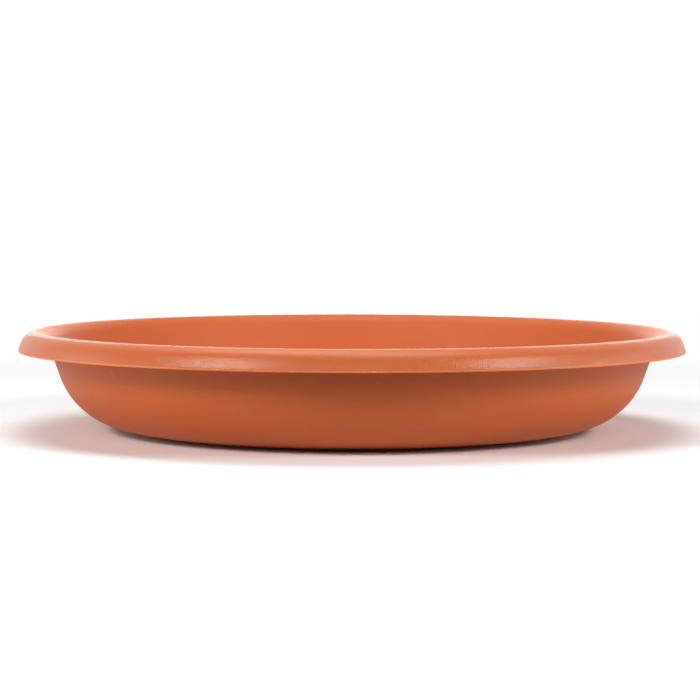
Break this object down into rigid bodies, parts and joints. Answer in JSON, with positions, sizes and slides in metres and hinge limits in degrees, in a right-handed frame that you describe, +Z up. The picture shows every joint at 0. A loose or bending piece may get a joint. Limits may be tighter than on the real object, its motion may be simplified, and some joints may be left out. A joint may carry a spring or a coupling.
{
  "type": "plant saucer",
  "caption": "Round shallow plant saucer, a thin moulded shell with a rolled rim, bowl-shaped side, flat foot and low radial ribs under the pot.",
  "frame": {"origin": "centre of the foot ring on the ground, under the middle of the dish", "axes": "+Z up along the axis of the round dish; +X along one of the radial ribs"},
  "size_m": [0.406, 0.406, 0.0615],
  "materials": {
    "terracotta_plastic": "terracotta-coloured polypropylene, injection moulded, satin, with a fine grain on the rim"
  },
  "bodies": {
    "root": {"saucer": "terracotta_plastic"}
  },
  "joints": []
}
